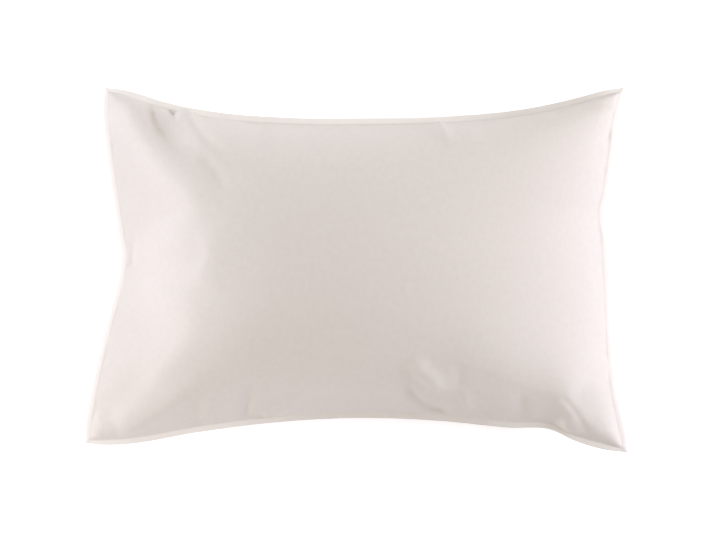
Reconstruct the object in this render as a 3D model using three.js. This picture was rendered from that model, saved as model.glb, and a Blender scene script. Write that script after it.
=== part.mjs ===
// A waterproof pillow protector, closed round the pillow that it protects and lying on its back.
// Two rectangular panels are sewn edge to edge, so the filled cover is one crowned solid: its corners
// stand out as flat ears, its four sides draw in between them, and its back is pressed flat where the
// pillow's weight rests. X runs along the pillow, Y from its foot side to its head side and Z upwards.
// The origin is on the resting surface, under the middle of the pillow's outline. Sizes are in mm.

import * as THREE from "three";

// ---- Driving sizes ----

const PANEL = { length: 750, width: 500 }; // one panel, cut flat, between its seams
const FRONT_LOFT = 114; // crown of the front panel above the seam
const BACK_LOFT = 104; // depth of the back panel below the seam, before the surface flattens it
const SEAM_LIFT = 28; // how much higher the seam stands along its sides than at its corners
const LIFT_POWER = 4; // the higher, the nearer to the corners the seam comes down
const CELLS = { along: 56, across: 38 }; // facets of each panel
const CROWDING = 0.3; // how much the facets crowd towards the seam
const LEAST_GROUND = 0.15; // share of its own width that a step of cloth always covers
const LEAST_CLOTH = 1e-6; // the least width that a climb is worked out for
const REST_ROUNDING = 12; // height over which the back rounds into the part that is pressed flat

// The turned edge of both panels round the seam. At the corners it is thinner by the share `thinning` and
// narrower by the share `narrowing`. The higher the power of each, the nearer to the corners it starts.
const EDGE = { width: 9, thickness: 10, thinning: 0.55, thinPower: 6, narrowing: 0.5, narrowPower: 24 };

// Where the cloth's four corners would end, if the turned edge kept its width there, and how high they lie.
const CORNERS = {
  footLeft: new THREE.Vector3(-375.5, -240.5, 50),
  footRight: new THREE.Vector3(373.5, -252.5, 46),
  headLeft: new THREE.Vector3(-349, 254.5, 50),
  headRight: new THREE.Vector3(368, 254, 52),
};

// Each side of the seam, from one corner to the next. At the share `at` of its length it has drawn
// inwards by `sag`.
const SIDES = {
  foot: {
    from: "footLeft", to: "footRight", inward: [0, 1],
    stations: [
      { at: 0.08, sag: 5.8 }, { at: 0.20, sag: 23.1 }, { at: 0.36, sag: 39.7 }, { at: 0.52, sag: 46.9 },
      { at: 0.66, sag: 44.3 }, { at: 0.78, sag: 36.8 }, { at: 0.87, sag: 33 }, { at: 0.91, sag: 19.6 },
    ],
  },
  head: {
    from: "headLeft", to: "headRight", inward: [0, -1],
    stations: [
      { at: 0.04, sag: 8 }, { at: 0.08, sag: 17.7 }, { at: 0.12, sag: 26.1 }, { at: 0.20, sag: 37.4 },
      { at: 0.36, sag: 46.7 }, { at: 0.52, sag: 47.3 }, { at: 0.68, sag: 44 }, { at: 0.82, sag: 33.4 },
      { at: 0.92, sag: 17.3 },
    ],
  },
  left: {
    from: "footLeft", to: "headLeft", inward: [1, 0],
    stations: [
      { at: 0.10, sag: 6.7 }, { at: 0.22, sag: 15.7 }, { at: 0.36, sag: 29 }, { at: 0.47, sag: 39.3 },
      { at: 0.53, sag: 40.6 }, { at: 0.60, sag: 34.4 }, { at: 0.75, sag: 19.7 }, { at: 0.90, sag: 6.3 },
    ],
  },
  right: {
    from: "footRight", to: "headRight", inward: [-1, 0],
    stations: [
      { at: 0.08, sag: 9.3 }, { at: 0.16, sag: 17.7 }, { at: 0.30, sag: 24.4 }, { at: 0.45, sag: 27 },
      { at: 0.60, sag: 30.5 }, { at: 0.66, sag: 33.7 }, { at: 0.72, sag: 27.6 }, { at: 0.85, sag: 17.1 },
      { at: 0.92, sag: 11.8 },
    ],
  },
};

// How the cloth climbs from each side. The reach is the width of cloth that it takes to gain the loft,
// the swell is how much it steepens on the way, and the sharpness is that of the shoulder where it
// meets the dome and the climbs before it.
const CLIMBS = [
  { side: "right", reach: 450, swell: 0.02, sharpness: 1.4 },
  { side: "head", reach: 242, swell: 0.17, sharpness: 3.9 },
  { side: "foot", reach: 207, swell: 0.62, sharpness: 2.04 },
  { side: "left", reach: 257, swell: 1.17, sharpness: 1.5 },
];

// The broad middle of the crown: where its top lies, as shares of the cloth, and how fast it falls.
const DOME = { top: [0.418, 0.366], fall: [0.153, 0.546], least: 0.05 };

// The main folds of the front panel, each along a path in plan. A positive height is a ridge and a
// negative one a trough. It grows over the share `grown` of the path and fades after the share `fading`.
const FOLDS = [
  {
    name: "head-left shoulder", height: 5.7, halfWidth: 24, grown: 0.2, fading: 0.7,
    path: [[-321, 248], [-284, 182], [-248, 134], [-212, 95], [-212, 42]],
  },
  {
    name: "foot-left shoulder", height: 1.6, halfWidth: 16, grown: 0.25, fading: 0.7,
    path: [[-343, -227], [-297, -176], [-249, -124], [-219, -83], [-212, -31]],
  },
  {
    name: "left swell", height: 6.0, halfWidth: 49, grown: 0.35, fading: 0.65,
    path: [[-274, 73], [-253, 8], [-271, -78]],
  },
  {
    name: "left shoulder", height: 2.7, halfWidth: 23, grown: 0.3, fading: 0.7,
    path: [[-206, 63], [-189, 21], [-214, -26]],
  },
  {
    name: "foot-left swell", height: -2.0, halfWidth: 19, grown: 0.2, fading: 0.7,
    path: [[-353, -200], [-305, -171], [-265, -126]],
  },
  {
    name: "foot shoulder", height: 2.7, halfWidth: 34, grown: 0.3, fading: 0.85,
    path: [[105, -112], [170, -124], [222, -146], [265, -160], [300, -179]],
  },
  {
    name: "head furrow", height: -1.8, halfWidth: 13, grown: 0.1, fading: 0.5,
    path: [[-127, 212], [-133, 165], [-126, 129]],
  },
  {
    name: "foot-left band", height: 4.2, halfWidth: 14, grown: 0.2, fading: 0.6,
    path: [[-332, -229], [-277, -196], [-227, -162], [-184, -133]],
  },
  {
    name: "head-left furrow", height: -2.4, halfWidth: 12, grown: 0.3, fading: 0.6,
    path: [[-212, 157], [-191, 133], [-170, 105]],
  },
  {
    name: "head-left crease", height: -5.5, halfWidth: 12, grown: 0.1, fading: 0.45,
    path: [[-285, 231], [-277, 213], [-268, 198], [-258, 184], [-245, 171], [-229, 156]],
  },
  {
    name: "head-left ridge", height: 8.0, halfWidth: 12, grown: 0.1, fading: 0.45,
    path: [[-237, 227], [-227, 206], [-216, 187], [-201, 170], [-183, 154], [-162, 134]],
  },
  {
    name: "foot ridge", height: 6.2, halfWidth: 12, grown: 0.3, fading: 0.6,
    path: [[64, -111], [84, -130], [104, -148], [122, -168]],
  },
  {
    name: "foot crease", height: -3.6, halfWidth: 12, grown: 0.35, fading: 0.8,
    path: [[64, -141], [70, -160], [84, -177], [103, -188], [128, -195]],
  },
  {
    name: "foot hollow", height: -1.7, halfWidth: 12, grown: 0.3, fading: 0.6,
    path: [[134, -120], [136, -141], [139, -161]],
  },
  {
    name: "foot tuck", height: 1.4, halfWidth: 12, grown: 0.2, fading: 0.5,
    path: [[149, -190], [144, -170], [137, -153]],
  },
  {
    name: "foot pucker", height: -2.1, halfWidth: 12, grown: 0.1, fading: 0.5,
    path: [[225, -202], [220, -177], [214, -156]],
  },
  {
    name: "foot-right facet", height: 3.1, halfWidth: 12, grown: 0.1, fading: 0.6,
    path: [[294, -236], [288, -218], [277, -195]],
  },
  {
    name: "foot-right dip", height: -3.4, halfWidth: 20, grown: 0.45, fading: 0.6,
    path: [[279, -154], [293, -169], [309, -183], [325, -197], [340, -214]],
  },
  {
    name: "foot-left pucker", height: 2.9, halfWidth: 12, grown: 0.15, fading: 0.35,
    path: [[-207, -210], [-199, -188], [-191, -163], [-179, -138]],
  },
  {
    name: "foot-left tuck", height: -2.8, halfWidth: 12, grown: 0.2, fading: 0.4,
    path: [[-152, -202], [-147, -178], [-141, -155], [-132, -131]],
  },
  {
    name: "foot-left ridge", height: 3.3, halfWidth: 12, grown: 0.15, fading: 0.6,
    path: [[-129, -198], [-106, -189], [-84, -174], [-68, -153]],
  },
  {
    name: "foot swell", height: 3.0, halfWidth: 27, grown: 0.25, fading: 0.75,
    path: [[-90, -164], [-43, -150], [17, -147], [75, -158]],
  },
  {
    name: "head ridge", height: 2.8, halfWidth: 12, grown: 0.1, fading: 0.4,
    path: [[108, 208], [112, 194], [118, 177], [128, 159]],
  },
  {
    name: "head swell", height: 2.0, halfWidth: 12, grown: 0.2, fading: 0.7,
    path: [[111, 178], [127, 183], [147, 183], [171, 176]],
  },
];
const FOLD_STEPS = 12; // straight runs that stand for a fold's path

// ---- Curves ----

// 0 to 1 with level ends.
function smoothStep(low, high, value) {
  return THREE.MathUtils.smoothstep(value, low, high);
}

// The slope of a row of stations at one of them, from the gaps on both sides of it.
function stationSlope(stations, index) {
  const here = stations[index];
  const before = stations[index - 1];
  const after = stations[index + 1];
  const rise = (from, to) => (to.sag - from.sag) / (to.at - from.at);
  if (!before) return rise(here, after);
  if (!after) return rise(before, here);
  const [gapBefore, gapAfter] = [here.at - before.at, after.at - here.at];
  return (rise(before, here) * gapAfter + rise(here, after) * gapBefore) / (gapBefore + gapAfter);
}

// How far a side has drawn in at a share of its length: a cubic Hermite curve through its stations.
function drawnIn(side, share) {
  const stations = [{ at: 0, sag: 0 }, ...side.stations, { at: 1, sag: 0 }];
  const last = stations.length - 2;
  const index = Math.min(stations.findLastIndex((station) => station.at <= share), last);
  const [start, end] = [stations[index], stations[index + 1]];
  const gap = end.at - start.at;
  const u = (share - start.at) / gap;
  const rises = u ** 3 - 2 * u ** 2 + u;
  const falls = u ** 3 - u ** 2;
  return (1 - smoothStep(0, 1, u)) * start.sag + smoothStep(0, 1, u) * end.sag
    + gap * (rises * stationSlope(stations, index) + falls * stationSlope(stations, index + 1));
}

// ---- The seam ----

// How near a place is to a corner: 1 there and 0 on the lines midway between the sides.
function cornerShare(s, t) {
  return Math.abs((2 * s - 1) * (2 * t - 1));
}

// A corner of the seam, inside the cloth's own corner by the width of the turned edge.
function seamCorner(name) {
  const tip = CORNERS[name];
  return new THREE.Vector3(
    tip.x - Math.sign(tip.x) * EDGE.width,
    tip.y - Math.sign(tip.y) * EDGE.width,
    tip.z,
  );
}

// The point of a side's seam at a share of its length.
function seamPoint(side, share) {
  const point = seamCorner(side.from).lerp(seamCorner(side.to), share);
  const sag = drawnIn(side, share);
  point.x += side.inward[0] * sag;
  point.y += side.inward[1] * sag;
  return point;
}

// The surface that the four seam lines span (a Coons patch), at the shares s along and t across. It
// stands at the corners' height there, and higher all along the sides and in the middle.
function seamSurface(s, t) {
  const ruledAcross = seamPoint(SIDES.foot, s).lerp(seamPoint(SIDES.head, s), t);
  const ruledAlong = seamPoint(SIDES.left, t).lerp(seamPoint(SIDES.right, t), s);
  const footLine = seamCorner("footLeft").lerp(seamCorner("footRight"), s);
  const headLine = seamCorner("headLeft").lerp(seamCorner("headRight"), s);
  const point = ruledAcross.add(ruledAlong).sub(footLine.lerp(headLine, t));
  point.z += SEAM_LIFT * (1 - cornerShare(s, t) ** LIFT_POWER);
  return point;
}

// How far a panel stands off the seam: half the edge's thickness, less towards the corners.
function halfEdge(s, t) {
  return (EDGE.thickness / 2) * (1 - EDGE.thinning * cornerShare(s, t) ** EDGE.thinPower);
}

// ---- The crown ----

// The smooth minimum of two values.
function smoothMinimum(one, other, sharpness) {
  return (one ** -sharpness + other ** -sharpness) ** (-1 / sharpness);
}

// The crown before it is scaled: the dome, joined in turn to the climb from each side.
function crownShare(s, t) {
  const cloth = {
    left: s * PANEL.length,
    right: (1 - s) * PANEL.length,
    foot: t * PANEL.width,
    head: (1 - t) * PANEL.width,
  };
  const along = 2 * (s - DOME.top[0]);
  const across = 2 * (t - DOME.top[1]);
  const dome = Math.max(1 - DOME.fall[0] * along ** 2 - DOME.fall[1] * across ** 2, DOME.least);
  return CLIMBS.reduce((share, climb) => {
    const reached = Math.max(cloth[climb.side], LEAST_CLOTH) / climb.reach;
    const rise = (reached * (1 + climb.swell * smoothStep(0, 1, reached))) / (1 + climb.swell);
    return smoothMinimum(share, rise, climb.sharpness);
  }, dome);
}

// Height of the crown as a share of the loft, 0 on the seam and 1 in the middle of the panel.
const MIDDLE_CROWN = crownShare(0.5, 0.5);
function crown(s, t) {
  return crownShare(s, t) / MIDDLE_CROWN;
}

// ---- The folds ----

const foldLines = FOLDS.map((fold) => {
  const path = fold.path.map(([x, y]) => new THREE.Vector2(x, y));
  return new THREE.SplineCurve(path).getPoints(FOLD_STEPS);
});

// Where a place in plan lies by a line of points: how far aside, and at what share of its length.
function placeBy(line, here) {
  let nearest = { aside: Infinity, share: 0 };
  for (let step = 0; step < FOLD_STEPS; step += 1) {
    const run = line[step + 1].clone().sub(line[step]);
    const offset = here.clone().sub(line[step]);
    const along = THREE.MathUtils.clamp(offset.dot(run) / run.lengthSq(), 0, 1);
    const aside = offset.addScaledVector(run, -along).length();
    if (aside < nearest.aside) nearest = { aside, share: (step + along) / FOLD_STEPS };
  }
  return nearest;
}

// What the folds add to the front panel's height at a plan position.
function foldHeight(x, y) {
  const here = new THREE.Vector2(x, y);
  return FOLDS.reduce((total, fold, index) => {
    const { aside, share } = placeBy(foldLines[index], here);
    const strength = smoothStep(0, fold.grown, share) * (1 - smoothStep(fold.fading, 1, share));
    return total + fold.height * strength * Math.exp(-((aside / fold.halfWidth) ** 2));
  }, 0);
}

// ---- The two panels ----

// Shares of cloth at the lines of facets.
function clothShares(cells) {
  return Array.from({ length: cells + 1 }, (_, index) => {
    const even = index / cells;
    return even - (CROWDING * Math.sin(2 * Math.PI * even)) / (2 * Math.PI);
  });
}

const columnShares = clothShares(CELLS.along);
const rowShares = clothShares(CELLS.across);

// The shares of ground that a line of cloth covers. A step that climbs covers the other leg of a
// right-angled triangle.
function groundShares(cloth, heights) {
  const covered = [0];
  for (let index = 1; index < cloth.length; index += 1) {
    const step = cloth[index] - cloth[index - 1];
    const rise = heights[index] - heights[index - 1];
    const ground = Math.sqrt(Math.max(step ** 2 - rise ** 2, (LEAST_GROUND * step) ** 2));
    covered.push(covered[index - 1] + ground);
  }
  return covered.map((length) => length / covered.at(-1));
}

// Rows of points on the seam's surface, drawn together where a panel of these heights climbs.
function groundPoints(heightAt) {
  const heights = rowShares.map((t) => columnShares.map((s) => heightAt(s, t)));
  const clothAlong = columnShares.map((s) => s * PANEL.length);
  const clothAcross = rowShares.map((t) => t * PANEL.width);
  const along = heights.map((line) => groundShares(clothAlong, line));
  const across = columnShares.map((_, column) => (
    groundShares(clothAcross, heights.map((line) => line[column]))
  ));
  return rowShares.map((_, row) => (
    columnShares.map((__, column) => seamSurface(along[row][column], across[column][row]))
  ));
}

function frontPoints() {
  const points = groundPoints((s, t) => FRONT_LOFT * crown(s, t));
  points.forEach((line, row) => line.forEach((point, column) => {
    const [s, t] = [columnShares[column], rowShares[row]];
    const onSeam = s === 0 || t === 0 || s === 1 || t === 1;
    const fold = onSeam ? 0 : foldHeight(point.x, point.y);
    point.z += halfEdge(s, t) + FRONT_LOFT * crown(s, t) + fold;
  }));
  return points;
}

// A height that is pressed flat at 0, with a parabola between.
function pressedFlat(height) {
  if (height > REST_ROUNDING) return height;
  return Math.max(height + REST_ROUNDING, 0) ** 2 / (4 * REST_ROUNDING);
}

function backPoints() {
  const points = groundPoints((s, t) => Math.min(BACK_LOFT * crown(s, t), seamSurface(s, t).z));
  points.forEach((line, row) => line.forEach((point, column) => {
    const [s, t] = [columnShares[column], rowShares[row]];
    point.z = pressedFlat(point.z - halfEdge(s, t) - BACK_LOFT * crown(s, t));
  }));
  return points;
}

// ---- The closed cover ----

// The indices of a panel's border points, counter-clockwise from above.
function borderIndices() {
  const columns = columnShares.length;
  const border = [];
  for (let column = 0; column < CELLS.along; column += 1) border.push(column);
  for (let row = 0; row < CELLS.across; row += 1) border.push(row * columns + CELLS.along);
  for (let column = CELLS.along; column > 0; column -= 1) border.push(CELLS.across * columns + column);
  for (let row = CELLS.across; row > 0; row -= 1) border.push(row * columns);
  return border;
}

// The width of the turned edge at each point of the border.
function edgeWidths(border) {
  const columns = columnShares.length;
  return border.map((index) => {
    const near = cornerShare(columnShares[index % columns], rowShares[Math.floor(index / columns)]);
    return EDGE.width * (1 - EDGE.narrowing * near ** EDGE.narrowPower);
  });
}

// A closed ring of points, each moved outwards in plan by its own distance, mitred where the ring turns.
function movedOutwards(ring, distances) {
  return ring.map((here, index) => {
    const before = here.clone().sub(ring.at(index - 1)).setZ(0).normalize();
    const after = ring[(index + 1) % ring.length].clone().sub(here).setZ(0).normalize();
    const mitre = before.clone().add(after).divideScalar(1 + before.dot(after));
    return here.clone().add(new THREE.Vector3(mitre.y, -mitre.x, 0).multiplyScalar(distances[index]));
  });
}

// The two triangles of each facet of a panel, turned over for the back.
function panelFaces(start, turned) {
  const columns = columnShares.length;
  const faces = [];
  for (let row = 0; row < CELLS.across; row += 1) {
    for (let column = 0; column < CELLS.along; column += 1) {
      const a = start + row * columns + column;
      const [b, c, d] = [a + 1, a + columns + 1, a + columns];
      faces.push(...(turned ? [a, c, b, a, d, c] : [a, b, c, a, c, d]));
    }
  }
  return faces;
}

// Faces between two closed rings of indices.
function bandFaces(upper, lower) {
  return upper.flatMap((here, index) => {
    const next = (index + 1) % upper.length;
    return [here, lower[index], lower[next], here, lower[next], upper[next]];
  });
}

// One closed mesh: the front panel, the back panel turned over, and the turned edge round both.
function coverGeometry() {
  const front = frontPoints().flat();
  const back = backPoints().flat();
  const border = borderIndices();
  const seam = border.map((index) => front[index].clone().lerp(back[index], 0.5));
  const tips = movedOutwards(seam, edgeWidths(border));
  const backBorder = border.map((index) => index + front.length);
  const tipRing = border.map((_, index) => index + front.length + back.length);

  const geometry = new THREE.BufferGeometry().setFromPoints([...front, ...back, ...tips]);
  geometry.setIndex([
    ...panelFaces(0, false),
    ...panelFaces(front.length, true),
    ...bandFaces(border, tipRing),
    ...bandFaces(tipRing, backBorder),
  ]);
  geometry.computeBoundingBox();
  const middle = geometry.boundingBox.getCenter(new THREE.Vector3());
  geometry.translate(-middle.x, -middle.y, 0);
  geometry.computeVertexNormals();
  return geometry;
}

const cotton = new THREE.MeshStandardMaterial({ color: 0xe9e0db, roughness: 0.85, metalness: 0 });

const cover = new THREE.Mesh(coverGeometry(), cotton);
cover.name = "filled_cover";

const protector = new THREE.Group();
protector.name = "pillow_protector";
protector.add(cover);

export default protector;
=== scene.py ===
"""A waterproof pillow protector, closed round the pillow that it protects and lying on its back.

One piece, pillow_cover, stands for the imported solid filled_cover. Its two panels are first formed round
the pillow by formula. A short cloth simulation then lets them find their own tension, and the main
folds, the small puckers and the turned edge of the seam are worked into the settled cloth.
Everything is in metres, with X along the pillow, Y from its foot side to its head side and Z upwards
from the surface that it rests on.
"""

import logging
import math
from dataclasses import dataclass, field
from enum import Enum
from typing import Any

import bpy
import numpy as np
from numpy.typing import NDArray
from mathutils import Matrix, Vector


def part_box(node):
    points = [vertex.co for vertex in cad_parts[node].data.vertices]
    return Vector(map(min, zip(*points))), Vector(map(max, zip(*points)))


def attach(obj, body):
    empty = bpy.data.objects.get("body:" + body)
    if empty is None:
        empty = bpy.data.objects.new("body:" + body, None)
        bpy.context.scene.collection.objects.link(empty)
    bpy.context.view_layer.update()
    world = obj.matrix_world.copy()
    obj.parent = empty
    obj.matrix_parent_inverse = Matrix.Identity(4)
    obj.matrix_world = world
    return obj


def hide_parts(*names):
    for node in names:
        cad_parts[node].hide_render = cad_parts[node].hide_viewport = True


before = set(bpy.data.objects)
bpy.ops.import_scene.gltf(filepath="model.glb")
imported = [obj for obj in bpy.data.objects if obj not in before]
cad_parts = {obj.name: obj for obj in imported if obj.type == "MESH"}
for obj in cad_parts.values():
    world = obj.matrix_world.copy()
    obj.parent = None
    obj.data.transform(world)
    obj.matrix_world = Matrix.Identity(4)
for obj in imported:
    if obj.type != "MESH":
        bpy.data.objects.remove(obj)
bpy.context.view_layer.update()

Array = NDArray[np.float64]
Indices = NDArray[np.int64]
Point = tuple[float, float, float]
Plan = tuple[float, float]

EDGE_WIDTH = 0.009  # width of the seam's turned edge
LEAST_LENGTH = 1e-12  # the least length that anything is divided by
LEAST_CLOTH = 1e-9  # the least width of cloth that a climb is worked out for

log = logging.getLogger("pillow_protector")


# ---- Small helpers on arrays ----


def smooth_step(low: float, high: float, value: Array) -> Array:
    """A smooth rise from 0 to 1: 3x^2 - 2x^3 of the value's clamped share x of the way from low to high."""
    share = np.clip((value - low) / (high - low), 0.0, 1.0)
    return share * share * (3.0 - 2.0 * share)


def smooth_curve(stations: tuple[Plan, ...], at: Array) -> Array:
    """A smooth curve through stations, each a place and a value.

    Between two stations it is the cubic Hermite curve, whose slope at each station is the gradient of
    the values on both sides of it.

    Args:
        stations: The stations, in order of place.
        at: Where to read the curve.

    Returns:
        The curve's values.
    """
    places, values = np.array(stations).T
    slopes = np.gradient(values, places)
    first = np.clip(np.searchsorted(places, at, side="right") - 1, 0, len(places) - 2)
    gap = places[first + 1] - places[first]
    u = (at - places[first]) / gap
    start = (2.0 * u**3 - 3.0 * u**2 + 1.0) * values[first] + (u**3 - 2.0 * u**2 + u) * gap * slopes[first]
    end = (3.0 * u**2 - 2.0 * u**3) * values[first + 1] + (u**3 - u**2) * gap * slopes[first + 1]
    return start + end


def corner_share(s: Array, t: Array) -> Array:
    """How near a place is to a corner: 1 there and 0 midway between the sides, by the product of both."""
    return np.abs((2.0 * s - 1.0) * (2.0 * t - 1.0))


def unit(vectors: Array) -> Array:
    """Vectors of length 1 along the last axis."""
    return vectors / np.maximum(np.linalg.norm(vectors, axis=-1, keepdims=True), LEAST_LENGTH)


def refine(grid: Array) -> Array:
    """Halves a grid's cells both ways by the cubic B-spline rule.

    A new point lies midway between its neighbours, and an old point inside the grid becomes six eighths
    of itself and one eighth of each neighbour, which also smooths it. Border rows are refined along
    themselves only, so the seam keeps its line.

    Args:
        grid: Rows by columns by values.

    Returns:
        The grid with twice as many cells each way.
    """
    for axis in (0, 1):
        points = np.moveaxis(grid, axis, 0)
        finer = np.empty((2 * points.shape[0] - 1, *points.shape[1:]))
        finer[::2] = points
        finer[2:-2:2] = (points[:-2] + 6.0 * points[1:-1] + points[2:]) / 8.0
        finer[1::2] = (points[:-1] + points[1:]) / 2.0
        grid = np.moveaxis(finer, 0, axis)
    return grid


def soften(grid: Array, passes: int) -> Array:
    """Evens out a grid: each inner value becomes half of itself and a quarter of each neighbour.

    Args:
        grid: Rows by columns by values.
        passes: How many times, each along the rows and then the columns.

    Returns:
        The softened grid.
    """
    for axis in (0, 1) * passes:
        values = np.moveaxis(grid, axis, 0).copy()
        values[1:-1] = (values[:-2] + 2.0 * values[1:-1] + values[2:]) / 4.0
        grid = np.moveaxis(values, 0, axis)
    return grid


def outward(ring: Array) -> Array:
    """Level directions square to a closed ring, mitred where it turns.

    The direction at a point is the sum of the outward normals of the steps before and after it, over 1
    plus their dot product, so that an offset keeps its distance from both.

    Args:
        ring: Points, counter-clockwise from above, with two or three values each.

    Returns:
        Two values for each point.
    """
    steps = unit(np.roll(ring, -1, axis=0)[:, :2] - ring[:, :2])
    after = np.stack([steps[:, 1], -steps[:, 0]], axis=-1)
    before = np.roll(after, 1, axis=0)
    return (before + after) / (1.0 + (before * after).sum(axis=-1, keepdims=True))


def grid_normals(grid: Array) -> Array:
    """Unit normals of a grid of points: the cross product of its steps along the columns and the rows."""
    return unit(np.cross(np.gradient(grid, axis=1), np.gradient(grid, axis=0)))


# ---- The form that the two panels take round the pillow ----


class Panel(Enum):
    """The two panels of the cover."""

    FRONT = 1
    BACK = -1


@dataclass(frozen=True)
class SeamSide:
    """One side of the seam, from one corner to the next, which draws in between them.

    Its stations give how far it has drawn in at shares of its length.
    """

    start: str
    end: str
    inward: Plan
    stations: tuple[Plan, ...]

    def drawn_in(self, share: Array) -> Array:
        """How far the side has drawn in at shares of its length, with nothing at its corners."""
        return smooth_curve(((0.0, 0.0), *self.stations, (1.0, 0.0)), share)


@dataclass(frozen=True)
class Climb:
    """How the cloth climbs from one side of the seam.

    The reach is the width of cloth that it takes to gain the loft, the swell is how much it steepens on
    the way, and the sharpness is that of the shoulder where it meets the dome.
    """

    side: str
    reach: float
    swell: float
    sharpness: float

    def rise(self, cloth: Array) -> Array:
        """The climb at widths of cloth from the side: their share of the reach, swollen smoothly."""
        share = np.maximum(cloth, LEAST_CLOTH) / self.reach
        return share * (1.0 + self.swell * smooth_step(0.0, 1.0, share)) / (1.0 + self.swell)


@dataclass(frozen=True)
class Dome:
    """The broad middle of the crown: where its top lies, as shares of the cloth, and its falls."""

    top: Plan = (0.418, 0.366)
    fall: Plan = (0.153, 0.546)
    least: float = 0.05

    def share(self, s: Array, t: Array) -> Array:
        """The share of the loft: 1 less the squared distances from the top, doubled and by the falls."""
        along, across = 2.0 * (s - self.top[0]), 2.0 * (t - self.top[1])
        return np.maximum(1.0 - self.fall[0] * along**2 - self.fall[1] * across**2, self.least)


@dataclass(frozen=True)
class Fold:
    """A fold of the front panel along a path in plan, from where it grows to where it fades away.

    The height is that of its crest, or negative for a trough. The half widths are those on the left and
    the right of the path, the spread is how much wider the fold is at the end of it, and the steps are
    those of the curve that follows the path.
    """

    name: str
    height: float
    half_widths: Plan
    spread: float
    grown: float
    fading: float
    path: tuple[Plan, ...]
    steps: int = 20

    def height_at(self, x: Array, y: Array) -> Array:
        """What the fold adds at places in plan.

        Across the fold it is a bell curve of its half width, by the distance from the nearest point of a
        smooth curve through the path. Along it, it grows and fades away by two smooth steps.

        Args:
            x: Places along the pillow.
            y: Places across it.

        Returns:
            The height added.
        """
        places = np.linspace(0.0, 1.0, len(self.path))
        even = np.linspace(0.0, 1.0, self.steps + 1)
        curve = np.stack(
            [smooth_curve(tuple(zip(places, values)), even) for values in zip(*self.path)], axis=-1
        )
        runs = np.diff(curve, axis=0)
        lengths = np.hypot(*runs.T)
        from_start = np.stack([x, y], axis=-1)[..., None, :] - curve[:-1]
        along = np.clip((from_start * runs).sum(axis=-1) / lengths**2, 0.0, 1.0)
        aside = from_start - along[..., None] * runs
        nearest = np.hypot(aside[..., 0], aside[..., 1]).argmin(axis=-1)[..., None]
        along = np.take_along_axis(along, nearest, axis=-1)[..., 0]
        aside = np.take_along_axis(aside, nearest[..., None], axis=-2)[..., 0, :]
        nearest = nearest[..., 0]
        share = (np.cumsum(lengths)[nearest] - (1.0 - along) * lengths[nearest]) / lengths.sum()
        on_left = runs[nearest, 0] * aside[..., 1] > runs[nearest, 1] * aside[..., 0]
        width = np.where(on_left, *self.half_widths) * (1.0 + self.spread * share)
        strength = smooth_step(0.0, self.grown, share) * (1.0 - smooth_step(self.fading, 1.0, share))
        return self.height * strength * np.exp(-((aside**2).sum(axis=-1) / width**2))


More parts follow.
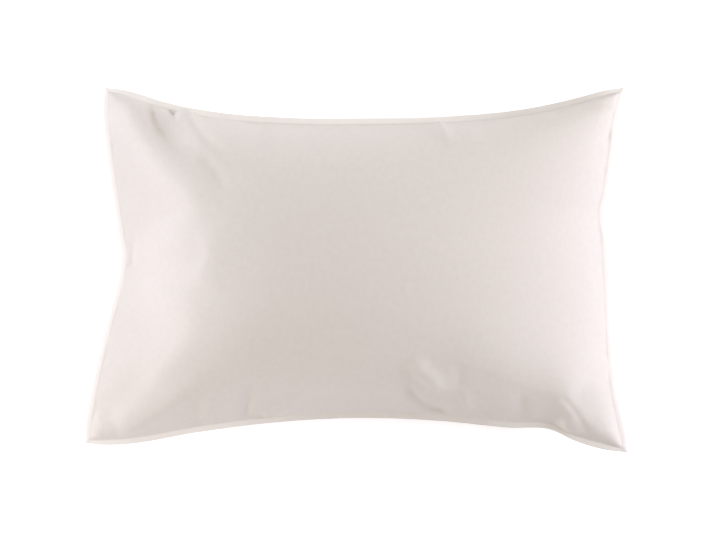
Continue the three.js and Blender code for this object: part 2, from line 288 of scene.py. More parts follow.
# Each has its name, height, half widths, spread, the shares where it has grown and starts to fade, and path.
FOLDS: tuple[Fold, ...] = (
    Fold("head-left shoulder", 0.0057, (0.0242, 0.021), 0.2, 0.2, 0.7,
         ((-0.321, 0.248), (-0.284, 0.182), (-0.248, 0.134), (-0.212, 0.095), (-0.212, 0.042))),
    Fold("foot-left shoulder", 0.0016, (0.0142, 0.0152), 0.2, 0.25, 0.7,
         ((-0.343, -0.227), (-0.297, -0.176), (-0.249, -0.124), (-0.219, -0.083), (-0.212, -0.031))),
    Fold("left swell", 0.006, (0.0624, 0.035), 0.0, 0.35, 0.65,
         ((-0.274, 0.073), (-0.253, 0.008), (-0.271, -0.078))),
    Fold("left shoulder", 0.0027, (0.0324, 0.0138), 0.0, 0.3, 0.7,
         ((-0.206, 0.063), (-0.189, 0.021), (-0.214, -0.026))),
    Fold("foot-left swell", -0.002, (0.0222, 0.0127), 0.3, 0.2, 0.7,
         ((-0.353, -0.2), (-0.305, -0.171), (-0.265, -0.126))),
    Fold("foot shoulder", 0.0027, (0.0565, 0.0116), 0.0, 0.3, 0.85,
         ((0.105, -0.112), (0.17, -0.124), (0.222, -0.146), (0.265, -0.16), (0.3, -0.179))),
    Fold("head furrow", -0.0018, (0.0122, 0.0138), 0.0, 0.1, 0.5,
         ((-0.127, 0.212), (-0.133, 0.165), (-0.126, 0.129))),
    Fold("left kink", -0.001, (0.0048, 0.0041), 0.0, 0.3, 0.7,
         ((-0.3, 0.05), (-0.303, 0.026), (-0.303, -0.001))),
    Fold("foot-left band", 0.0042, (0.014, 0.01), 0.4, 0.2, 0.6,
         ((-0.332, -0.229), (-0.277, -0.196), (-0.227, -0.162), (-0.184, -0.133))),
    Fold("head-left furrow", -0.003, (0.0087, 0.0057), 0.3, 0.3, 0.6,
         ((-0.212, 0.157), (-0.191, 0.133), (-0.17, 0.105))),
    Fold("head-left notch", -0.007, (0.0036, 0.0032), 0.3, 0.02, 0.4,
         ((-0.254, 0.231), (-0.249, 0.218), (-0.24, 0.2))),
    Fold("head-left crease", -0.009, (0.01, 0.0048), 0.3, 0.22, 0.5,
         ((-0.285, 0.231), (-0.277, 0.213), (-0.268, 0.198),
          (-0.258, 0.184), (-0.245, 0.171), (-0.229, 0.156))),
    Fold("head-left ridge", 0.008, (0.009, 0.014), 0.2, 0.1, 0.45,
         ((-0.237, 0.227), (-0.227, 0.206), (-0.216, 0.187),
          (-0.201, 0.17), (-0.183, 0.154), (-0.162, 0.134))),
    Fold("foot ridge", 0.0065, (0.011, 0.011), 0.0, 0.3, 0.6,
         ((0.064, -0.111), (0.084, -0.13), (0.104, -0.148), (0.122, -0.168))),
    Fold("foot crease", -0.0045, (0.0075, 0.007), 0.1, 0.35, 0.8,
         ((0.064, -0.141), (0.07, -0.16), (0.084, -0.177), (0.103, -0.188), (0.128, -0.195))),
    Fold("foot hollow", -0.0022, (0.008, 0.007), 0.0, 0.3, 0.6,
         ((0.134, -0.12), (0.136, -0.141), (0.139, -0.161))),
    Fold("foot tuck", 0.002, (0.006, 0.006), 0.0, 0.2, 0.5,
         ((0.149, -0.19), (0.144, -0.17), (0.137, -0.153))),
    Fold("foot pucker", -0.0024, (0.01, 0.007), 0.2, 0.1, 0.5,
         ((0.225, -0.202), (0.22, -0.177), (0.214, -0.156))),
    Fold("foot-right crease", -0.0015, (0.0045, 0.0045), 0.3, 0.25, 0.7,
         ((0.263, -0.162), (0.275, -0.17), (0.287, -0.183),
          (0.296, -0.195), (0.307, -0.212), (0.323, -0.233))),
    Fold("foot-right facet", 0.0035, (0.009, 0.01), 0.0, 0.05, 0.6,
         ((0.294, -0.236), (0.288, -0.218), (0.277, -0.195))),
    Fold("foot-right dip", -0.0034, (0.022, 0.019), 0.0, 0.45, 0.6,
         ((0.279, -0.154), (0.293, -0.169), (0.309, -0.183), (0.325, -0.197), (0.34, -0.214))),
    Fold("foot-left pucker", 0.0034, (0.008, 0.007), 0.4, 0.15, 0.35,
         ((-0.207, -0.21), (-0.199, -0.188), (-0.191, -0.163), (-0.179, -0.138))),
    Fold("foot-left tuck", -0.0034, (0.0075, 0.0075), 0.3, 0.2, 0.4,
         ((-0.152, -0.202), (-0.147, -0.178), (-0.141, -0.155), (-0.132, -0.131))),
    Fold("foot-left ridge", 0.0042, (0.0075, 0.0065), 0.2, 0.15, 0.6,
         ((-0.129, -0.198), (-0.106, -0.189), (-0.084, -0.174), (-0.068, -0.153))),
    Fold("foot swell", 0.003, (0.036, 0.018), 0.0, 0.25, 0.75,
         ((-0.09, -0.164), (-0.043, -0.15), (0.017, -0.147), (0.075, -0.158))),
    Fold("head ridge", 0.0036, (0.007, 0.0055), 0.4, 0.1, 0.4,
         ((0.108, 0.208), (0.112, 0.194), (0.118, 0.177), (0.128, 0.159))),
    Fold("head swell", 0.002, (0.008, 0.016), 0.0, 0.2, 0.7,
         ((0.111, 0.178), (0.127, 0.183), (0.147, 0.183), (0.171, 0.176))),
)


@dataclass(frozen=True)
class PillowForm:
    """The surface of the filled cover as functions of two shares, s along a panel and t across it."""

    length: float = 0.750
    width: float = 0.500
    front_loft: float = 0.114
    back_loft: float = 0.104
    seam_lift: float = 0.028
    lift_power: int = 4
    # The height over which the back rounds into the part that is pressed flat.
    rest_rounding: float = 0.012
    # The share of its own width that a step of cloth always covers.
    least_ground: float = 0.15
    # Where the cloth's four corners would end, if the turned edge kept its width there.
    corners: dict[str, Point] = field(
        default_factory=lambda: {
            "foot_left": (-0.3755, -0.2405, 0.050),
            "foot_right": (0.3735, -0.2525, 0.046),
            "head_left": (-0.3490, 0.2545, 0.050),
            "head_right": (0.3680, 0.2540, 0.052),
        }
    )
    # From and to which corner, which way is inwards, and the stations: a share of the length and the sag.
    foot: SeamSide = SeamSide("foot_left", "foot_right", (0.0, 1.0), (
        (0.08, 0.0058), (0.2, 0.0231), (0.36, 0.0397), (0.52, 0.0469), (0.66, 0.0443),
        (0.78, 0.0368), (0.87, 0.033), (0.91, 0.0196),
    ))
    head: SeamSide = SeamSide("head_left", "head_right", (0.0, -1.0), (
        (0.04, 0.008), (0.08, 0.0177), (0.12, 0.0261), (0.2, 0.0374), (0.36, 0.0467),
        (0.52, 0.0473), (0.68, 0.044), (0.82, 0.0334), (0.92, 0.0173),
    ))
    left: SeamSide = SeamSide("foot_left", "head_left", (1.0, 0.0), (
        (0.1, 0.0067), (0.22, 0.0157), (0.36, 0.029), (0.47, 0.0393), (0.53, 0.0406),
        (0.6, 0.0344), (0.75, 0.0197), (0.9, 0.0063),
    ))
    right: SeamSide = SeamSide("foot_right", "head_right", (-1.0, 0.0), (
        (0.08, 0.0093), (0.16, 0.0177), (0.3, 0.0244), (0.45, 0.027), (0.6, 0.0305),
        (0.66, 0.0337), (0.72, 0.0276), (0.85, 0.0171), (0.92, 0.0118),
    ))
    # Side, reach, swell and sharpness. Each is joined in turn to the dome and the ones before it.
    climbs: tuple[Climb, ...] = (
        Climb("right", 0.450, 0.02, 1.4),
        Climb("head", 0.242, 0.17, 3.9),
        Climb("foot", 0.207, 0.62, 2.04),
        Climb("left", 0.257, 1.17, 1.5),
    )
    dome: Dome = Dome()

    def seam_corner(self, name: str) -> Array:
        """A corner of the seam, inside the cloth's own corner by the width of the turned edge."""
        x, y, z = self.corners[name]
        return np.array([x - math.copysign(EDGE_WIDTH, x), y - math.copysign(EDGE_WIDTH, y), z])

    def seam_point(self, side: SeamSide, share: Array) -> Array:
        """Points of a side's seam: the straight line between its corners, moved inwards by the sag.

        Args:
            side: The side.
            share: Shares of its length.

        Returns:
            The points, with three values along the last axis.
        """
        start, end = self.seam_corner(side.start), self.seam_corner(side.end)
        straight = start + np.multiply.outer(share, end - start)
        return straight + np.multiply.outer(side.drawn_in(share), np.array([*side.inward, 0.0]))

    def seam_surface(self, s: Array, t: Array) -> Array:
        """The surface that the four seam lines span, a Coons patch.

        It is the blend of the foot and head lines, plus the blend of the left and right lines, less the
        blend of the four corners. Away from the corners it is lifted, by 1 less a power of the corner
        share.

        Args:
            s: Shares of the ground along the pillow.
            t: Shares of the ground across it.

        Returns:
            The points, with three values along the last axis.
        """
        u, v = s[..., None], t[..., None]
        across = (1.0 - v) * self.seam_point(self.foot, s) + v * self.seam_point(self.head, s)
        along = (1.0 - u) * self.seam_point(self.left, t) + u * self.seam_point(self.right, t)
        foot_left, foot_right, head_left, head_right = map(self.seam_corner, self.corners)
        foot_line = (1.0 - u) * foot_left + u * foot_right
        head_line = (1.0 - u) * head_left + u * head_right
        points = across + along - (1.0 - v) * foot_line - v * head_line
        points[..., 2] += self.seam_lift * (1.0 - corner_share(s, t) ** self.lift_power)
        return points

    def crown_share(self, s: Array, t: Array) -> Array:
        """The crown before it is scaled: a smooth minimum of the dome and the climbs from the sides.

        The smooth minimum of two values is the sum of their negative powers, raised back.

        Args:
            s: Shares of the cloth along the panel.
            t: Shares of the cloth across it.

        Returns:
            The share of the loft.
        """
        cloth = {
            "left": s * self.length,
            "right": (1.0 - s) * self.length,
            "foot": t * self.width,
            "head": (1.0 - t) * self.width,
        }
        share = self.dome.share(s, t)
        for climb in self.climbs:
            rise = climb.rise(cloth[climb.side])
            share = (share**-climb.sharpness + rise**-climb.sharpness) ** (-1.0 / climb.sharpness)
        return share

    def crown(self, s: Array, t: Array) -> Array:
        """The crown as a share of the loft: 0 on the seam and 1 in the middle of the panel."""
        return self.crown_share(s, t) / self.crown_share(np.array(0.5), np.array(0.5))

    def ground_shares(self, s: Array, t: Array, height: Array) -> tuple[Array, Array]:
        """The shares of ground that shares of cloth cover.

        A step of cloth that climbs covers the other leg of a right-angled triangle: the root of its own
        square less the square of the rise. The steps are added up from one side and scaled to end at 1.

        Args:
            s: Shares of the cloth along the panel, one to a column.
            t: Shares of the cloth across it, one to a row.
            height: The height of the cloth there.

        Returns:
            The shares of ground along the pillow and across it.
        """
        shares = []
        for axis, cloth in ((1, s * self.length), (0, t * self.width)):
            step, rise = np.diff(cloth, axis=axis), np.diff(height, axis=axis)
            ground = np.sqrt(np.maximum(step**2 - rise**2, (self.least_ground * step) ** 2))
            total = np.cumsum(ground, axis=axis)
            total = np.insert(total, 0, 0.0, axis=axis)
            shares.append(total / np.take(total, [-1], axis=axis))
        return shares[0], shares[1]

    def surface(self, panel: Panel, s: Array, t: Array) -> Array:
        """One panel as it lies round the pillow.

        The front stands above the seam's surface by its loft times the crown. The back hangs below it
        by its own, and is pressed flat where it would pass through the resting surface. Near there it
        rounds off by a parabola.

        Args:
            panel: Which panel.
            s: Shares of the cloth along the panel, one to a column.
            t: Shares of the cloth across it, one to a row.

        Returns:
            The points, with three values along the last axis.
        """
        crown = self.crown(s, t)
        if panel is Panel.FRONT:
            points = self.seam_surface(*self.ground_shares(s, t, self.front_loft * crown))
            points[..., 2] += self.front_loft * crown
            return points
        seam_height = self.seam_surface(s, t)[..., 2]
        hanging = np.minimum(self.back_loft * crown, seam_height)
        points = self.seam_surface(*self.ground_shares(s, t, hanging))
        height = points[..., 2] - self.back_loft * crown
        rounded = np.maximum(height + self.rest_rounding, 0.0) ** 2 / (4.0 * self.rest_rounding)
        points[..., 2] = np.where(height > self.rest_rounding, height, rounded)
        return points


# ---- Objects and meshes from arrays ----


def add_object(name: str, data: bpy.types.ID) -> bpy.types.Object:
    """Adds an object to the scene.

    Args:
        name: Its name.
        data: Its mesh, lamp or camera.

    Returns:
        The object.
    """
    made = bpy.data.objects.new(name, data)
    bpy.context.scene.collection.objects.link(made)
    return made


@dataclass(frozen=True)
class Quads:
    """A mesh of four-sided faces, as arrays."""

    points: Array
    faces: Indices

    def to_mesh(self, name: str) -> bpy.types.Mesh:
        """Makes the mesh.

        Args:
            name: Its name.

        Returns:
            The mesh.
        """
        mesh = bpy.data.meshes.new(name)
        mesh.vertices.add(len(self.points))
        mesh.vertices.foreach_set("co", self.points.astype(np.float32).ravel())
        mesh.loops.add(self.faces.size)
        mesh.loops.foreach_set("vertex_index", self.faces.astype(np.int32).ravel())
        mesh.polygons.add(len(self.faces))
        mesh.polygons.foreach_set("loop_start", np.arange(0, self.faces.size, 4, dtype=np.int32))
        mesh.update(calc_edges=True)
        return mesh


def panel_faces(rows: int, columns: int) -> Indices:
    """The faces of both panels' grids of points, the front's first. The back's look the other way.

    Args:
        rows: Rows of points in each grid.
        columns: Columns of points.

    Returns:
        Four point indices for each face.
    """
    index = np.arange(2 * rows * columns).reshape(2, rows, columns)
    corners = (index[:, :-1, :-1], index[:, :-1, 1:], index[:, 1:, 1:], index[:, 1:, :-1])
    faces = np.stack(corners, axis=-1)
    faces[1] = faces[1][..., [0, 3, 2, 1]]
    return faces.reshape(-1, 4)


def border(rows: int, columns: int) -> Indices:
    """The indices of a grid's border points, counter-clockwise from its first point."""
    index = np.arange(rows * columns).reshape(rows, columns)
    return np.concatenate([index[0, :-1], index[:-1, -1], index[-1, :0:-1], index[:0:-1, 0]])


def ring_cells(rings: NDArray[Any]) -> NDArray[Any]:
    """The values at the four corners of each cell between neighbouring closed rings."""
    ahead = np.roll(rings, -1, axis=1)
    return np.stack([rings[:-1], rings[1:], ahead[1:], ahead[:-1]], axis=2)


# ---- Cloth settling ----


@dataclass(frozen=True)
class Settling:
    """A short run of cloth simulation on the formed panels, sewn together along the seam."""

    frames: int = 24
    quality: int = 6
    mass: float = 0.2
    pressure: float = 2.0
    stiffness: float = 30.0
    bending: float = 20.0
    damping: float = 20.0
    # The shear's stiffness and damping, as a share of the ones above.
    shear_share: float = 0.5
    hold_stiffness: float = 1.0
    # How firmly the form is held, from 0 to 1: in the middle of a panel and on the seam.
    hold: Plan = (0.05, 0.70)
    # The furthest that a point may move, and how often the moves are then evened out.
    furthest: float = 0.003
    softening: int = 3

    def moves(self, front: Array, back: Array) -> tuple[Array, Array]:
        """Lets the panels find their tension while the pillow pushes them out.

        Args:
            front: The front panel's grid of points.
            back: The back panel's.

        Returns:
            How far each point of the two grids moves, softened and kept within the furthest move.
        """
        rows, columns = front.shape[:2]
        count = rows * columns
        own = np.arange(2 * count)
        seam = border(rows, columns)
        own[count + seam] = seam
        kept, index = np.unique(own, return_inverse=True)
        start = np.concatenate([front.reshape(-1, 3), back.reshape(-1, 3)])[kept]
        faces = index[panel_faces(rows, columns)]
        piece = add_object("settling", Quads(start, faces).to_mesh("settling"))
        self._hold(piece, np.isin(kept, seam))
        self._add_cloth(piece)
        settled = self._run(piece)
        bpy.data.objects.remove(piece)
        moved = settled - start
        distance = np.linalg.norm(moved, axis=-1, keepdims=True)
        log.info("cloth settled: median move %.1f mm", 1000.0 * float(np.median(distance)))
        moved *= self.furthest * np.tanh(distance / self.furthest) / np.maximum(distance, LEAST_LENGTH)
        grids = moved[index].reshape(2, rows, columns, 3)
        return soften(grids[0], self.softening), soften(grids[1], self.softening)

    def _hold(self, piece: bpy.types.Object, on_seam: NDArray[np.bool_]) -> None:
        """Writes the two holds into a vertex group.

        Args:
            piece: The piece to hold.
            on_seam: Which of its points are on the seam.
        """
        group = piece.vertex_groups.new(name="hold")
        for chosen, hold in zip((~on_seam, on_seam), self.hold):
            group.add(np.flatnonzero(chosen).tolist(), hold, "REPLACE")

    def _add_cloth(self, piece: bpy.types.Object) -> None:
        """Adds the cloth simulation.

        Args:
            piece: The piece to add it to.
        """
        cloth = piece.modifiers.new("cloth", "CLOTH")
        settings = cloth.settings
        settings.quality = self.quality
        settings.mass = self.mass
        settings.tension_stiffness = settings.compression_stiffness = self.stiffness
        settings.shear_stiffness = self.stiffness * self.shear_share
        settings.bending_stiffness = self.bending
        settings.tension_damping = settings.compression_damping = self.damping
        settings.shear_damping = self.damping * self.shear_share
        settings.use_pressure = True
        settings.uniform_pressure_force = self.pressure
        settings.vertex_group_mass = "hold"
        settings.pin_stiffness = self.hold_stiffness
        settings.effector_weights.gravity = 0.0
        cloth.collision_settings.use_collision = False
        cloth.point_cache.frame_end = self.frames

    def _run(self, piece: bpy.types.Object) -> Array:
        """Steps the scene through the run.

        Args:
            piece: The piece that settles.

        Returns:
            Its points at the end.
        """
        for number in range(1, self.frames + 1):
            bpy.context.scene.frame_set(number)
        settled = piece.evaluated_get(bpy.context.evaluated_depsgraph_get()).data.vertices
        points = np.empty(len(settled) * 3, np.float32)
        settled.foreach_get("co", points)
        bpy.context.scene.frame_set(1)
        return points.reshape(-1, 3).astype(float)


# ---- Shader nodes ----


class Wire:
    """An output socket, on which Python's operators add Math nodes."""

    def __init__(self, bench: "Bench", socket: bpy.types.NodeSocket) -> None:
        """Keeps the bench that the nodes go to, and the socket."""
        self.bench = bench
        self.socket = socket

    def _math(self, operation: str, *values: "Wire | float") -> "Wire":
        """One Math node on the given values."""
        return self.bench.node("ShaderNodeMath", {"operation": operation}, dict(enumerate(values)))

    def __add__(self, other: "Wire | float") -> "Wire":
        """The sum."""
        return self._math("ADD", self, other)

    __radd__ = __add__

    def __sub__(self, other: "Wire | float") -> "Wire":
        """The difference."""
        return self._math("SUBTRACT", self, other)

    def __rsub__(self, other: "Wire | float") -> "Wire":
        """The difference, from a number."""
        return self._math("SUBTRACT", other, self)

    def __mul__(self, other: "Wire | float") -> "Wire":
        """The product."""
        return self._math("MULTIPLY", self, other)

    __rmul__ = __mul__

    def __abs__(self) -> "Wire":
        """The size without its sign."""
        return self._math("ABSOLUTE", self)

    def sine(self) -> "Wire":
        """The sine of an angle in radians."""
        return self._math("SINE", self)

    def larger(self, other: "Wire | float") -> "Wire":
        """The larger of the two."""
        return self._math("MAXIMUM", self, other)


class Bench:
    """A material's node tree, with the one method that adds every node to it."""

    def __init__(self, name: str) -> None:
        """Starts a new material with no nodes.

        Args:
            name: The material's name.
        """
        self.material = bpy.data.materials.new(name)
        self.material.use_nodes = True
        self.tree = self.material.node_tree
        self.tree.nodes.clear()

    def node(self, kind: str, settings: dict[str, Any], inputs: dict[Any, Any], output: Any = 0) -> Wire:
        """Adds a node.

        Args:
            kind: The node's type.
            settings: Its own settings, which are set first.
            inputs: The value or the wire for each input, by name or number.
            output: The output to take, by name or number.

        Returns:
            The chosen output.
        """
        made = self.tree.nodes.new(kind)
        for name, value in settings.items():
            setattr(made, name, value)
        for name, value in inputs.items():
            if isinstance(value, Wire):
                self.tree.links.new(value.socket, made.inputs[name])
            else:
                made.inputs[name].default_value = value
        return Wire(self, made.outputs[output])

    def noise(self, place: Wire, scale: float, detail: float) -> Wire:
        """A noise pattern from 0 to 1."""
        return self.node("ShaderNodeTexNoise", {}, {"Vector": place, "Scale": scale, "Detail": detail})

    def stretched(self, place: Wire, scale: Point) -> Wire:
        """A place scaled differently along each axis."""
        return self.node("ShaderNodeMapping", {}, {"Vector": place, "Scale": scale})

    def mix_colour(self, share: Wire, low: Wire | Point, high: Wire | Point) -> Wire:
        """A colour between two, by a share from 0 to 1."""
        # Sockets 6 and 7 are the node's two colours, and output 2 is the mixed one.
        ends = [end if isinstance(end, Wire) else (*end, 1.0) for end in (low, high)]
        return self.node("ShaderNodeMix", {"data_type": "RGBA"}, {0: share, 6: ends[0], 7: ends[1]}, 2)

    def finish(self, inputs: dict[str, Any]) -> bpy.types.Material:
        """Adds the shader and links it to the output.

        Args:
            inputs: The value or the wire for each of the shader's inputs.

        Returns:
            The finished material.
        """
        shader = self.node("ShaderNodeBsdfPrincipled", {}, inputs)
        output = self.tree.nodes.new("ShaderNodeOutputMaterial")
        self.tree.links.new(shader.socket, output.inputs["Surface"])
        return self.material


# ---- Finishes ----


CLOTH_MAP = "OFBake"  # the name under which the export keeps a piece's own map
EDGE_PAINTED_HIGHLIGHT = "edge_painted_highlight"  # the attribute that holds each point's share of the edge's painted highlight, 0 on the panels
MAP_SCALE = 0.95  # share of the map that a metre of cloth takes
MAP_CELLS = 1024  # cells along the side of the map that the export bakes
MAP_GAP = 0.016  # metres of cloth left free beside the front panel on the map
PANELS_GAP = 0.024  # metres of cloth between the two panels on the map


@dataclass(frozen=True)
class PlainWeave:
    """Warm white cotton in a fine plain weave, a little uneven in its yarns."""

    light: Point = (0.700, 0.646, 0.615)
    dark: Point = (0.660, 0.603, 0.566)
    # The turned edge's colour, paler than the cloth's: a painted highlight along the seam's edge.
    edge: Point = (0.830, 0.775, 0.745)
    # Two yarns to each cell of the baked map, so that no stripes show there.
    pitch: float = 0.5 / (MAP_CELLS * MAP_SCALE)
    weave_depth: float = 0.00003
    slub_depth: float = 0.00005
    # How far a yarn rises and falls at a crossing, and what brings the weave's height to about 1.
    crossing_rise: float = 0.5
    weave_scale: float = 0.75
    # How fine the slubs of the two yarns are along each axis, and the mottle, by the metre of cloth.
    warp_fineness: Point = (430.0, 70.0, 1.0)
    weft_fineness: Point = (60.0, 390.0, 1.0)
    mottle_fineness: float = 110.0
    # How many finer layers their noise adds.
    slub_detail: float = 2.0
    mottle_detail: float = 3.0
    # The warp's share of the slubs. The weft has the rest.
    warp_share: float = 0.6
    # How far the slubs and the mottle carry the colour from dark to light, and the mottle the roughness.
    slub_contrast: float = 1.2
    mottle_contrast: float = 1.1
    mottle_roughness: float = 0.12
    roughness: float = 0.82
    sheen: float = 0.15
    sheen_roughness: float = 0.45
    specular: float = 0.3

    def material(self) -> bpy.types.Material:
        """Makes the cloth's material, which reads the piece's own map of its flat cut.

        The slubs of both yarns and a mottle give its tone, the paler edge colour a painted highlight along
        the seam's edge, and the slubs and the weave its bump.

        Returns:
            The material.
        """
        bench = Bench("plain_weave_cotton")
        on_map = bench.node("ShaderNodeUVMap", {"uv_map": CLOTH_MAP}, {})
        to_metres = {0: on_map, "Scale": 1.0 / MAP_SCALE}
        cloth = bench.node("ShaderNodeVectorMath", {"operation": "SCALE"}, to_metres)
        weave = self._weave(bench, cloth)
        warp_slubs, weft_slubs = (
            bench.noise(bench.stretched(cloth, fineness), 1.0, self.slub_detail)
            for fineness in (self.warp_fineness, self.weft_fineness)
        )
        slubs = self.warp_share * warp_slubs + (1.0 - self.warp_share) * weft_slubs
        mottle = bench.noise(cloth, self.mottle_fineness, self.mottle_detail)
        # Both patterns lie round 0.5, and so does the tone.
        tone = (slubs - 0.5) * self.slub_contrast + (mottle - 0.5) * self.mottle_contrast + 0.5
        colour = bench.mix_colour(tone, self.dark, self.light)
        # How much of the paler edge colour each point takes: a painted highlight along the seam's edge, 0 on
        # the panels.
        edge = bench.node("ShaderNodeAttribute", {"attribute_name": EDGE_PAINTED_HIGHLIGHT}, {}, "Fac")
        height = weave * (self.weave_depth / self.slub_depth) + slubs
        bump = bench.node("ShaderNodeBump", {}, {"Distance": self.slub_depth, "Height": height})
        return bench.finish({
            "Base Color": bench.mix_colour(edge, colour, self.edge),
            "Roughness": self.roughness + (mottle - 0.5) * self.mottle_roughness,
            "Normal": bump,
            "Sheen Weight": self.sheen,
            "Sheen Roughness": self.sheen_roughness,
            "Specular IOR Level": self.specular,
        })

    def _weave(self, bench: Bench, cloth: Wire) -> Wire:
        """The height of a plain weave, 0 to about 1.

        Along each axis a wave of sines has one half wave to a yarn. A yarn is the size of its own wave,
        raised and lowered by the product of the two waves as it passes over and under, with the other
        yarns the other way round. The higher of the two yarns shows.

        Args:
            bench: The bench to add nodes to.
            cloth: The place on the flat cut, in metres.

        Returns:
            The height.
        """
        split = bench.node("ShaderNodeSeparateXYZ", {}, {0: cloth})
        across = Wire(bench, split.socket.node.outputs[1])
        turn = math.pi / self.pitch
        warp, weft = (split * turn).sine(), (across * turn).sine()
        crossing = warp * weft * self.crossing_rise
        return (abs(warp) + crossing).larger(abs(weft) - crossing) * self.weave_scale


@dataclass(frozen=True)
class PaleFloor:
    """A plain pale studio floor, lit a little from below like a light table."""

    colour: Point = (0.89, 0.88, 0.855)
    glow_colour: Point = (1.0, 1.0, 1.12)
    glow: float = 0.31
    roughness: float = 0.9

    def material(self) -> bpy.types.Material:
        """Makes the floor's material.

        Returns:
            The material.
        """
        return Bench("pale_floor").finish({
            "Base Color": (*self.colour, 1.0),
            "Roughness": self.roughness,
            "Specular IOR Level": 0.0,
            "Emission Color": (*self.glow_colour, 1.0),
            "Emission Strength": self.glow,
        })


# ---- The filled cover ----


@dataclass(frozen=True)
class SeamEdge:
    """The turned edge of both panels, pressed together and carried round the seam."""

    thickness: float = 0.010
    # How high the middle of the turn pulls, as a share of the half thickness, and the steps of a turn.
    pull: float = 0.35
    steps: int = 6
    # How much thinner the edge is at the corners, and the power that keeps that close to them.
    thinning: float = 0.55
    thinning_power: int = 6
    # The same for how much narrower it is there.
    narrowing: float = 0.5
    narrowing_power: int = 24
    # How strong the painted highlight on the edge of the foot and the head side is at shares of their
    # length, from 0, like the panels, to 1.
    foot_painted_highlight: tuple[Plan, ...] = (
        (0.0, 1.0), (0.28, 0.8), (0.42, 0.1), (0.74, 0.1), (0.84, 0.6), (1.0, 0.6),
    )
    head_painted_highlight: tuple[Plan, ...] = (
        (0.0, 1.0), (0.18, 0.75), (0.65, 0.75), (0.84, 0.1), (0.95, 0.1), (1.0, 0.6),
    )

    def half_thickness(self, s: Array, t: Array) -> Array:
        """How far a panel stands off the seam: half the thickness, less towards the four corners."""
        return self.thickness / 2.0 * (1.0 - self.thinning * corner_share(s, t) ** self.thinning_power)

    def painted_highlight(self, s: Array, t: Array) -> Array:
        """How strong the painted highlight on the edge is beside each point of a panel.

        Along the foot and the head it follows their own smooth curves. On the left and the right side, where
        the side lamps light the edge most, it is 1.

        Args:
            s: Shares of the cloth along the panel.
            t: Shares of the cloth across it.

        Returns:
            The painted highlight's strength at every point of the panel, of which only the border counts.
        """
        foot, head = (smooth_curve(curve, s) for curve in (self.foot_painted_highlight, self.head_painted_highlight))
        on_side = (t > 0.0) & (t < 1.0)
        return np.where(on_side, 1.0, np.where(t < 0.5, foot, head)).ravel()

    def lines(self, front: Array, back: Array, near_corner: Array) -> Array:
        """The edge's lines round the seam, from the front panel's border to the back panel's.

        Each half of its section is a quadratic curve: it leaves the panel at a slant, is pulled by a point
        straight above or below the tip, and arrives upright at the tip, midway between the two panels.

        Args:
            front: The border of the front panel, counter-clockwise.
            back: The border of the back panel, point for point.
            near_corner: The corner share of each point.

        Returns:
            Lines by points by three values.
        """
        u = np.linspace(0.0, 1.0, self.steps + 1)[:, None, None]
        middle = (front + back) / 2.0
        width = EDGE_WIDTH * (1.0 - self.narrowing * near_corner[:, None] ** self.narrowing_power)
        out = (2.0 * u - u * u) * np.column_stack([width * outward(middle), np.zeros(len(middle))])
        rise = (1.0 - u) ** 2 + 2.0 * u * (1.0 - u) * self.pull
        upper, lower = (middle + out + rise * (border_line - middle) for border_line in (front, back))
        return np.concatenate([upper, lower[-2::-1]])


@dataclass(frozen=True)
class Puckers:
    """Small puckers that the stitching draws into both panels along the seam."""

    seed: int = 7
    spacing: float = 0.024
    # The usual height and slant, up or down and to either side, and the least and most of the others.
    height: float = 0.00055
    slant: float = 0.30
    half_width: Plan = (0.0035, 0.009)
    length: Plan = (0.014, 0.045)
    fading_power: float = 1.5
    # Where each may lie in its own stretch of the seam.
    within: Plan = (0.1, 0.9)

    def heights(self, form: PillowForm, s: Array, t: Array, panel: Panel) -> Array:
        """What the puckers add along the cloth's normal.

        Each is a bell curve across its line, which leaves the seam at its own slant, widens as it goes
        and dies away with the distance from the seam.

        Args:
            form: The form, for the panel's size.
            s: Shares of the cloth along the panel.
            t: Shares of the cloth across it.
            panel: Which panel, which changes the draw.

        Returns:
            The height added.
        """
        draw = np.random.default_rng(self.seed + (panel is Panel.BACK))
        x, y = s * form.length, t * form.width
        total = np.zeros_like(s)
        for along, inwards, reach in (
            (x, y, form.length),
            (x, form.width - y, form.length),
            (y, x, form.width),
            (y, form.length - x, form.width),
        ):
            count = int(reach / self.spacing)
            places = (np.arange(count) + draw.uniform(*self.within, count)) * reach / count
            for place in places:
                slant = draw.normal(0.0, self.slant)
                half_width = draw.uniform(*self.half_width)
                length = draw.uniform(*self.length)
                height = draw.normal(0.0, self.height)
                aside = along - place - slant * inwards
                bell = np.exp(-((aside / (half_width * (1.0 + inwards / length))) ** 2))
                total += height * bell * np.exp(-((inwards / length) ** self.fading_power))
        return total


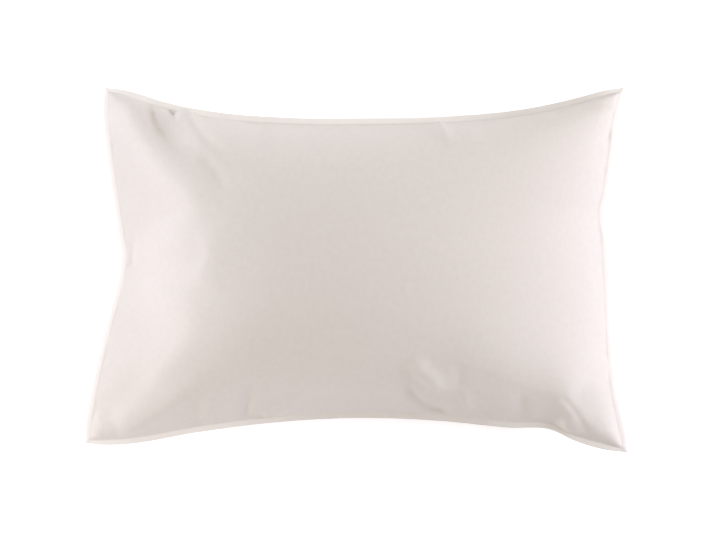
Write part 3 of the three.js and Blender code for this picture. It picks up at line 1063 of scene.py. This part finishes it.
@dataclass
class FilledCover:
    """The front and back panels, filled and sewn edge to edge, as one closed piece."""

    form: PillowForm = PillowForm()
    settling: Settling = Settling()
    edge: SeamEdge = SeamEdge()
    puckers: Puckers = Puckers()
    finish: PlainWeave = PlainWeave()
    # The cells of the settling grid along a panel and across it, and how often they are then halved.
    cells: tuple[int, int] = (60, 40)
    halvings: int = 2
    # The share by which the steps at the seam are shorter than even ones.
    crowding: float = 0.30
    folds: tuple[Fold, ...] = FOLDS

    def shares(self, halvings: int) -> tuple[Array, Array]:
        """The shares of the cloth at the points of a grid, which crowd towards the seam.

        A share is the even step less the sine of its full turn, scaled by the crowding.

        Args:
            halvings: How often the cells of the settling grid are halved.

        Returns:
            The shares along the panel and across it.
        """
        even = [np.linspace(0.0, 1.0, cells * 2**halvings + 1) for cells in self.cells]
        crowded = [u - self.crowding * np.sin(2.0 * np.pi * u) / (2.0 * np.pi) for u in even]
        s, t = np.meshgrid(*crowded)
        return s, t

    def panels(self) -> dict[Panel, Array]:
        """Both panels, formed, settled, folded and puckered.

        The folds and puckers move a point along the normal, and the seam's own points stay.

        Returns:
            A grid of points for each panel.
        """
        s, t = self.shares(self.halvings)
        panels = {panel: self.form.surface(panel, s, t) for panel in Panel}
        coarse = self.shares(0)
        moves = self.settling.moves(*(self.form.surface(panel, *coarse) for panel in Panel))
        for panel, move in zip(Panel, moves):
            for _ in range(self.halvings):
                move = refine(move)
            panels[panel] += move
        log.info("folds: %s", ", ".join(fold.name for fold in self.folds))
        for panel, grid in panels.items():
            grid[..., 2] += panel.value * self.edge.half_thickness(s, t)
            height = self.puckers.heights(self.form, s, t, panel)
            if panel is Panel.FRONT:
                height += sum(fold.height_at(grid[..., 0], grid[..., 1]) for fold in self.folds)
            height[[0, -1], :] = height[:, [0, -1]] = 0.0
            grid += (height * panel.value)[..., None] * grid_normals(grid)
            grid[..., 2] = np.maximum(grid[..., 2], 0.0)
        return panels

    def shell(self) -> tuple[Quads, Array, Array]:
        """The closed surface: both panels and the seam's edge between them.

        Each panel and the edge also have a place on the map of the flat cut, all at the cloth's own
        scale. The front panel lies at the foot of the map with the edge round it, and the back panel
        above them.

        Returns:
            The surface, two values on the map for each corner of its faces, and each point's share of the
            edge's painted highlight.
        """
        panels = self.panels()
        front, back = (panels[panel].reshape(-1, 3) for panel in Panel)
        rows, columns = panels[Panel.FRONT].shape[:2]
        seam = border(rows, columns)
        s, t = self.shares(self.halvings)
        lines = self.edge.lines(front[seam], back[seam], corner_share(s, t).ravel()[seam])
        count = rows * columns
        inner = 2 * count + np.arange((len(lines) - 2) * len(seam)).reshape(-1, len(seam))
        rings = np.concatenate([seam[None], inner, seam[None] + count])
        flat_faces = panel_faces(rows, columns)
        faces = np.concatenate([flat_faces, ring_cells(rings).reshape(-1, 4)])
        cut = np.stack([s * self.form.length, t * self.form.width], axis=-1).reshape(-1, 2) + MAP_GAP
        both = np.concatenate([cut, cut + (0.0, self.form.width + PANELS_GAP)])
        widths = np.linalg.norm(np.diff(lines, axis=0), axis=-1).mean(axis=1)
        reach = np.insert(np.cumsum(widths), 0, 0.0)[:, None, None]
        edge_places = ring_cells(cut[seam] + reach * outward(cut[seam]))
        places = np.concatenate([both[flat_faces].reshape(-1, 2), edge_places.reshape(-1, 2)])
        points = np.concatenate([front, back, lines[1:-1].reshape(-1, 3)])
        # Each point's share of the edge's painted highlight: 0 on both panels, the border's own on every
        # line of the edge.
        pale = np.concatenate([np.zeros(2 * count), np.tile(self.edge.painted_highlight(s, t)[seam], len(inner))])
        return Quads(points, faces), MAP_SCALE * places, pale

    def build(self) -> bpy.types.Object:
        """Makes the piece, dresses it and places it on the frame.

        Returns:
            The piece.
        """
        shell, places, pale = self.shell()
        low, high = np.array(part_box("filled_cover"))
        middle = (shell.points.min(axis=0) + shell.points.max(axis=0)) / 2.0
        shift = ((low + high) / 2.0 - middle) * (1.0, 1.0, 0.0)
        mesh = Quads(shell.points + shift, shell.faces).to_mesh("pillow_cover")
        layer = mesh.uv_layers.new(name=CLOTH_MAP)
        layer.uv.foreach_set("vector", places.astype(np.float32).ravel())
        # Stores every point's share of the edge's painted highlight, which the cloth's material reads.
        mesh.attributes.new(EDGE_PAINTED_HIGHLIGHT, "FLOAT", "POINT").data.foreach_set("value", pale.astype(np.float32))
        mesh.shade_smooth()
        mesh.materials.append(self.finish.material())
        piece = add_object("pillow_cover", mesh)
        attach(piece, "root")
        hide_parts("filled_cover")
        return piece


# ---- The studio ----


@dataclass(frozen=True)
class Softbox:
    """A large soft lamp that looks at the middle of the pillow."""

    name: str
    place: Point
    size: Plan
    power: float
    colour: Point

    def build(self) -> None:
        """Makes the lamp."""
        lamp = bpy.data.lights.new(self.name, "AREA")
        lamp.shape = "RECTANGLE"
        lamp.size, lamp.size_y = self.size
        lamp.energy = self.power
        lamp.color = self.colour
        made = add_object(self.name, lamp)
        made.location = self.place
        made.rotation_euler = (-made.location).to_track_quat("-Z", "Y").to_euler()


@dataclass(frozen=True)
class Studio:
    """A plain pale floor, soft lamps and a camera that looks straight down at the pillow's face."""

    floor: PaleFloor = PaleFloor()
    floor_size: float = 30.0
    floor_drop: float = 0.0002
    softboxes: tuple[Softbox, ...] = (
        Softbox("left_foot_softbox", (-1.9, -1.2, 0.75), (1.0, 1.6), 36.4, (0.99, 0.967, 1.0)),
        Softbox("left_head_softbox", (-1.9, 1.2, 0.75), (1.0, 1.6), 29.7, (0.8, 0.854, 1.0)),
        Softbox("right_softbox", (2.2, 0.0, 0.75), (1.0, 1.6), 57.3, (0.892, 0.906, 1.0)),
        Softbox("head_softbox", (0.0, 2.2, 0.75), (1.6, 1.0), 14.6, (1.0, 0.991, 0.941)),
        Softbox("top_softbox", (0.0, 0.0, 3.6), (2.0, 2.0), 52.8, (1.0, 0.971, 0.819)),
    )
    # The lens and the sensor in mm, the view's width at the seam's height, and the camera's place in plan.
    lens: float = 100.0
    sensor: float = 36.0
    view_width: float = 0.974
    seam_height: float = 0.070
    over: Plan = (0.0018, 0.0005)

    def build(self) -> None:
        """Makes the floor, the lamps, a sky that gives no light, and the camera."""
        self._floor()
        for softbox in self.softboxes:
            softbox.build()
        sky = bpy.data.worlds.new("unlit_sky")
        sky.use_nodes = True
        sky.node_tree.nodes["Background"].inputs["Strength"].default_value = 0.0
        bpy.context.scene.world = sky
        bpy.context.scene.view_settings.view_transform = "Standard"
        self._camera()

    def _floor(self) -> None:
        """A flat floor, a hair under the pillow."""
        half = self.floor_size / 2.0
        points = np.array([(-half, -half), (half, -half), (half, half), (-half, half)])
        points = np.column_stack([points, np.full(4, -self.floor_drop)])
        mesh = Quads(points, np.array([[0, 1, 2, 3]])).to_mesh("studio_floor")
        mesh.materials.append(self.floor.material())
        floor = add_object("studio_floor", mesh)

    def _camera(self) -> None:
        """A camera over the stated place, whose view has the stated width at the seam's height."""
        camera = bpy.data.cameras.new("camera")
        camera.lens = self.lens
        camera.sensor_width = self.sensor
        made = add_object("camera", camera)
        distance = self.view_width * self.lens / self.sensor
        made.location = (*self.over, self.seam_height + distance)
        bpy.context.scene.camera = made


# ---- The whole ----


def main() -> None:
    """Builds the studio and the pillow protector, and reports each piece."""
    logging.basicConfig(level=logging.INFO, format="%(name)s: %(message)s")
    Studio().build()
    piece = FilledCover().build()
    log.info("%s: %d faces", piece.name, len(piece.data.polygons))


if __name__ == "__main__":
    main()
